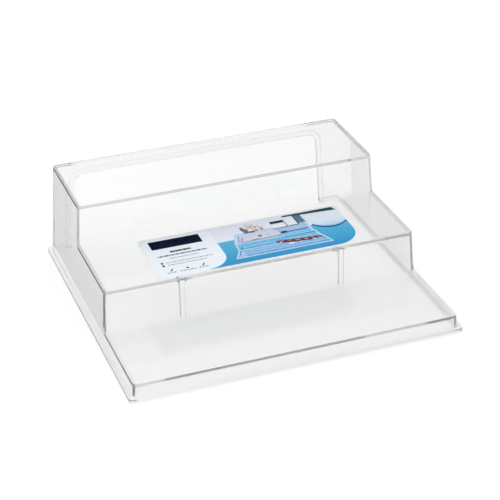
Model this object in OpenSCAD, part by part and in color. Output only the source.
// Tiered shelf riser: a clear one-piece moulding with three stepped trays, open
// underneath and through the back, and a printed label that lies on the middle tray.
// The origin is the centre of the footprint on the surface that the riser stands on.
// X runs across the front, Y from the front to the back and Z up.

/* [Overall] */
// Width over the base ledge
base_w = 300; // [260:1:340]
// Depth over the base ledge
base_d = 268; // [240:1:300]
// Height of the rim of the front tier
front_h = 15; // [12:0.5:24]
// Rise from one tier to the next
step_h = 37.5; // [28:0.5:45]
// Depth of each of the two lower tiers
tread_d = 86; // [76:0.5:90]

/* [Moulding] */
// Thickness of the walls and of the rims
wall_t = 2.8; // [1.8:0.1:3.2]
// Thickness of the tray floors
floor_t = 2.8; // [1.8:0.1:3.2]
// Height of the raised rim above a tray floor
rim_h = 1; // [0.6:0.2:3]
// Radius of the upright outer corners
corner_r = 4; // [3:0.5:6]
// How far the side walls lean in for each millimetre of height
side_draft = 0.07; // [0.02:0.01:0.1]
// How far the front wall and the risers lean back for each millimetre of height
front_draft = 0.04; // [0:0.01:0.08]
// How far the back wall leans in for each millimetre of height
back_draft = 0.02; // [0:0.01:0.05]

/* [Base ledge] */
// Width of the ledge outside the walls
ledge_w = 3.5; // [2.5:0.5:5]
// Height of the ledge
ledge_h = 3.5; // [3:0.5:5]
// Thickness of the ledge, which is hollow underneath
ledge_t = 2; // [1.5:0.1:2.5]

/* [Riser ribs] */
// Distance of each rib from the middle
rib_x = 74; // [40:1:110]
// Width of a rib
rib_w = 4.4; // [3:0.2:6]
// How far a rib stands behind its riser
rib_d = 2.5; // [1.5:0.5:5]

/* [Back cut-out] */
// Distance from the side of the back wall to the bead round the cut-out
arch_side = 16; // [12:1:30]
// Distance from the top rim down to the bead round the cut-out
arch_top = 10; // [8:1:20]
// Width of the bead round the cut-out
bead_w = 4.7; // [3:0.1:6]
// How far the bead stands behind the back wall
bead_d = 1.5; // [1:0.5:2]
// Radius of the outer corners of the bead
arch_r = 13; // [9:1:20]

/* [Label] */
// Width of the label
label_w = 191; // [120:1:220]
// Depth of the label
label_d = 70; // [50:1:74]
// Thickness of the label
label_t = 0.2; // [0.1:0.05:0.4]
// Distance of the label's middle to the right of the tray's middle
label_x = 3; // [-10:1:10]
// Gap between the front rim and the label
label_gap = 1.5; // [1:0.5:8]
// Radius of the label's large front right corner
label_big_r = 25; // [8:1:30]
// Radius of the label's other corners
label_small_r = 5; // [2:1:8]

/* [Hidden] */

$fn = 48;
TIERS = 3;
CLEAR = [0.86, 0.92, 0.95, 0.4];
PAPER = [0.93, 0.94, 0.98];
SKIN = 0.01;                 // thickness of the slabs that a tapered block is hulled from
CUT = 1;                     // how far a cut runs past the faces it goes through
ARC_STEPS = 12;              // straight pieces in a rounded corner of the cut-out
top_z = front_h + (TIERS - 1) * step_h;
wall_front = -base_d / 2 + ledge_w;
wall_back = base_d / 2 - ledge_w;
wall_side = base_w / 2 - ledge_w;
cavity_r = max(corner_r - wall_t, 1);

// Height of the rim of tier i, counted from 0 at the front
function rim_z(i) = front_h + i * step_h;

// Height of the upper face of the tray floor of tier i
function floor_z(i) = rim_z(i) - rim_h;

// Outer faces of tier i at height z
function front_y(i, z) = wall_front + i * tread_d + front_draft * (z - i * step_h);
function back_y(z) = wall_back - back_draft * z;
function side_x(z) = wall_side - side_draft * z;

// Points of a quarter circle about c, from angle a onwards
function arc(c, r, a) = [
    for (i = [0:ARC_STEPS])
        c + r * [cos(a + 90 * i / ARC_STEPS), sin(a + 90 * i / ARC_STEPS)]
];

// Slab with rounded upright corners between y0 and y1, half_w wide to each side
module slab(half_w, y0, y1, z, h, r) {
    translate([0, 0, z]) {
        translate([-half_w, y0 + r, 0]) cube([2 * half_w, y1 - y0 - 2 * r, h]);
        translate([-half_w + r, y0, 0]) cube([2 * half_w - 2 * r, y1 - y0, h]);
        for (x = [-half_w + r, half_w - r], y = [y0 + r, y1 - r])
            translate([x, y, 0]) cylinder(r = r, h = h);
    }
}

// Tapered block of tier i from the ground to height z, inset from the outer faces
module block(i, z, inset, r) {
    hull() {
        slab(side_x(0) - inset, front_y(i, 0) + inset, back_y(0) - inset, 0, SKIN, r);
        slab(side_x(z) - inset, front_y(i, z) + inset, back_y(z) - inset, z - SKIN, SKIN, r);
    }
}

// Recess that makes a tray of the top of tier i; it runs on under the next riser
module tray_recess(i) {
    z = rim_z(i);
    rear = i == TIERS - 1 ? back_y(z) - wall_t : front_y(i + 1, z) + wall_t / 2;
    slab(side_x(z) - wall_t, front_y(i, z) + wall_t, rear, floor_z(i), rim_h + CUT, cavity_r);
}

// Solid tiers with their trays, standing on the ledge
module solid_steps() {
    for (i = [0:TIERS - 1])
        difference() {
            block(i, rim_z(i), 0, corner_r);
            tray_recess(i);
        }
    slab(base_w / 2, -base_d / 2, base_d / 2, 0, ledge_h, corner_r);
}

// Space under the trays, and the step under the ledge
module underside() {
    for (i = [0:TIERS - 1])
        block(i, floor_z(i) - floor_t, wall_t, cavity_r);
    slab(base_w / 2 - ledge_t, -base_d / 2 + ledge_t, base_d / 2 - ledge_t,
        -CUT, ledge_h - ledge_t + CUT, corner_r - ledge_t);
}

// Upright ribs behind the middle riser
module ribs() {
    low = floor_z(0) - floor_t / 2;
    high = floor_z(1) - floor_t / 2;
    for (side = [-1, 1])
        translate([side * rib_x - rib_w / 2, 0, 0])
            rotate([90, 0, 90])
                linear_extrude(rib_w)
                    polygon([
                        [front_y(1, low) + wall_t / 2, low],
                        [front_y(1, low) + wall_t + rib_d, low],
                        [front_y(1, high) + wall_t + rib_d, high],
                        [front_y(1, high) + wall_t / 2, high]
                    ]);
}

// Outline of the arch in the back wall, inset from the bead's outer edge
module arch_outline(inset, low) {
    r = arch_r - inset;
    high = top_z - arch_top - inset;
    foot = side_x(low) - arch_side - inset;
    head = side_x(high) - arch_side - inset;
    polygon(concat(
        [[-foot, low], [foot, low]],
        arc([head - r, high - r], r, 0),
        arc([-head + r, high - r], r, 90)
    ));
}

// Bead round the arch, behind the back wall
module arch_bead() {
    depth = wall_t / 2 + bead_d;
    intersection() {
        translate([0, back_y(0) + bead_d, 0])
            rotate([90, 0, 0])
                linear_extrude(depth + back_draft * top_z) arch_outline(0, 0);
        slab(base_w / 2, back_y(0) - wall_t, base_d / 2, 0, top_z, SKIN);
    }
}

// Opening through the back wall, the bead and the ledge
module arch_opening() {
    reach = ledge_w + wall_t + 2 * CUT + back_draft * top_z;
    translate([0, base_d / 2 + CUT, 0])
        rotate([90, 0, 0])
            linear_extrude(reach) arch_outline(bead_w, -CUT);
}

// Gap in the ledge between the outer edges of the bead, which stands there alone
module ledge_gap() {
    low_w = side_x(0) - arch_side;
    translate([-low_w, back_y(0) + bead_d, -CUT])
        cube([2 * low_w, ledge_w, ledge_h + 2 * CUT]);
}

// The clear moulding
module riser_shell() {
    color(CLEAR)
        difference() {
            union() {
                difference() {
                    union() {
                        solid_steps();
                        arch_bead();
                    }
                    underside();
                }
                ribs();
            }
            arch_opening();
            ledge_gap();
        }
}

// The printed label, which lies on the tray floor of the middle tier
module product_label() {
    left = label_x - label_w / 2;
    right = label_x + label_w / 2;
    front = front_y(1, rim_z(1)) + wall_t + label_gap;
    back = front + label_d;
    small = label_small_r;
    big = label_big_r;
    color(PAPER)
        translate([0, 0, floor_z(1)])
            linear_extrude(label_t)
                polygon(concat(
                    arc([right - small, back - small], small, 0),
                    arc([left + small, back - small], small, 90),
                    arc([left + small, front + small], small, 180),
                    arc([right - big, front + big], big, 270)
                ));
}

riser_shell();
product_label();
